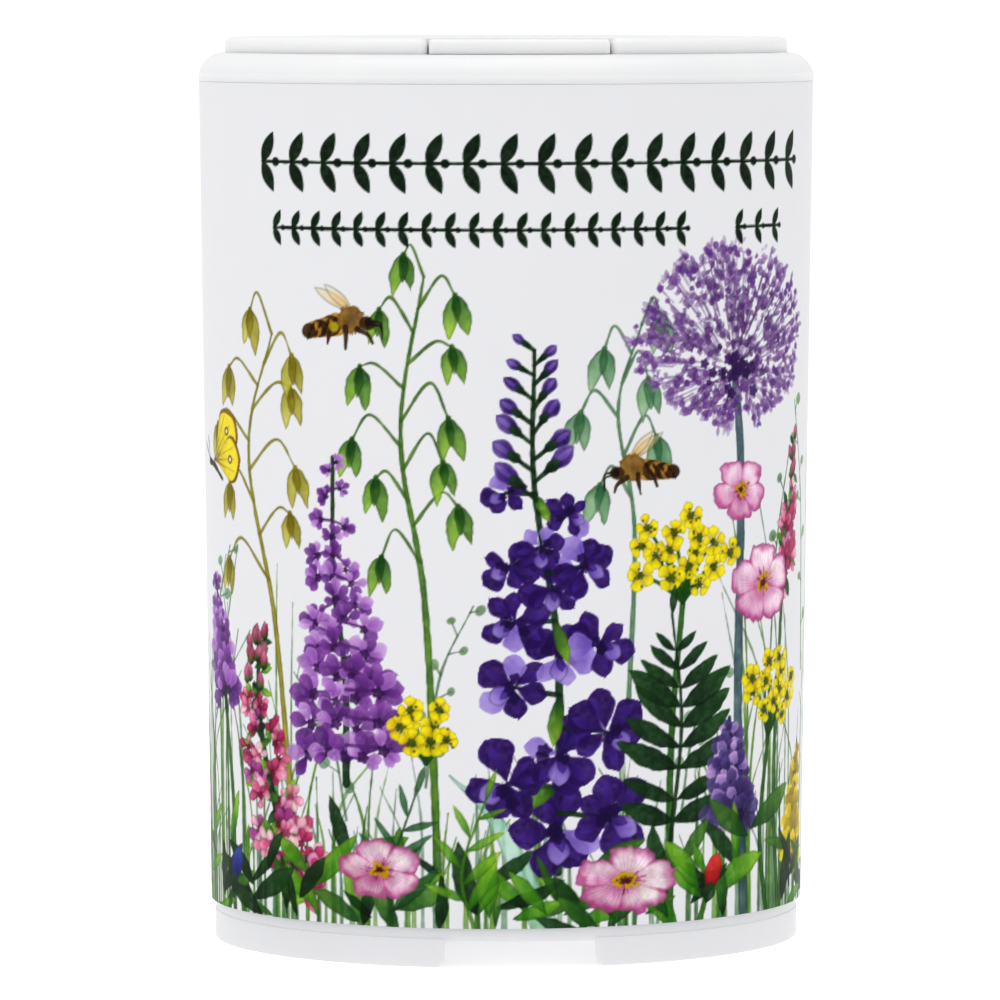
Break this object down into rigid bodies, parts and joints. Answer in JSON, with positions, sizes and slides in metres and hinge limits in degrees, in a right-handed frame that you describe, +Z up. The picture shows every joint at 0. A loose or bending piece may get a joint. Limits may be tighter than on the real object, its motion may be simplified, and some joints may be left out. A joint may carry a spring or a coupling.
{
  "type": "talc shaker",
  "caption": "Oval tapered plastic powder shaker with a wrap-round printed label, footed base, and a cap with a raised pierced platform and a sliding shutter.",
  "frame": {"origin": "on the floor under the middle of the oval, at the lowest point of the feet", "axes": "+Z up, X along the oval's long axis, and the front with the shutter's tab faces -Y"},
  "size_m": [0.052, 0.0406, 0.0763],
  "materials": {
    "moulded_plastic": "satin",
    "label_film": "satin"
  },
  "bodies": {
    "container": {"body_shell": "moulded_plastic", "printed_sleeve": "label_film", "base_cap": "moulded_plastic", "top_cap": "moulded_plastic", "platform_cover": "moulded_plastic"},
    "shutter_plate": {"shutter": "moulded_plastic"}
  },
  "joints": [
    {"name": "shutter_slide", "type": "slide", "parent": "container", "child": "shutter_plate", "axis": [0, -1, 0], "range_m": [0, 0.0024]}
  ]
}
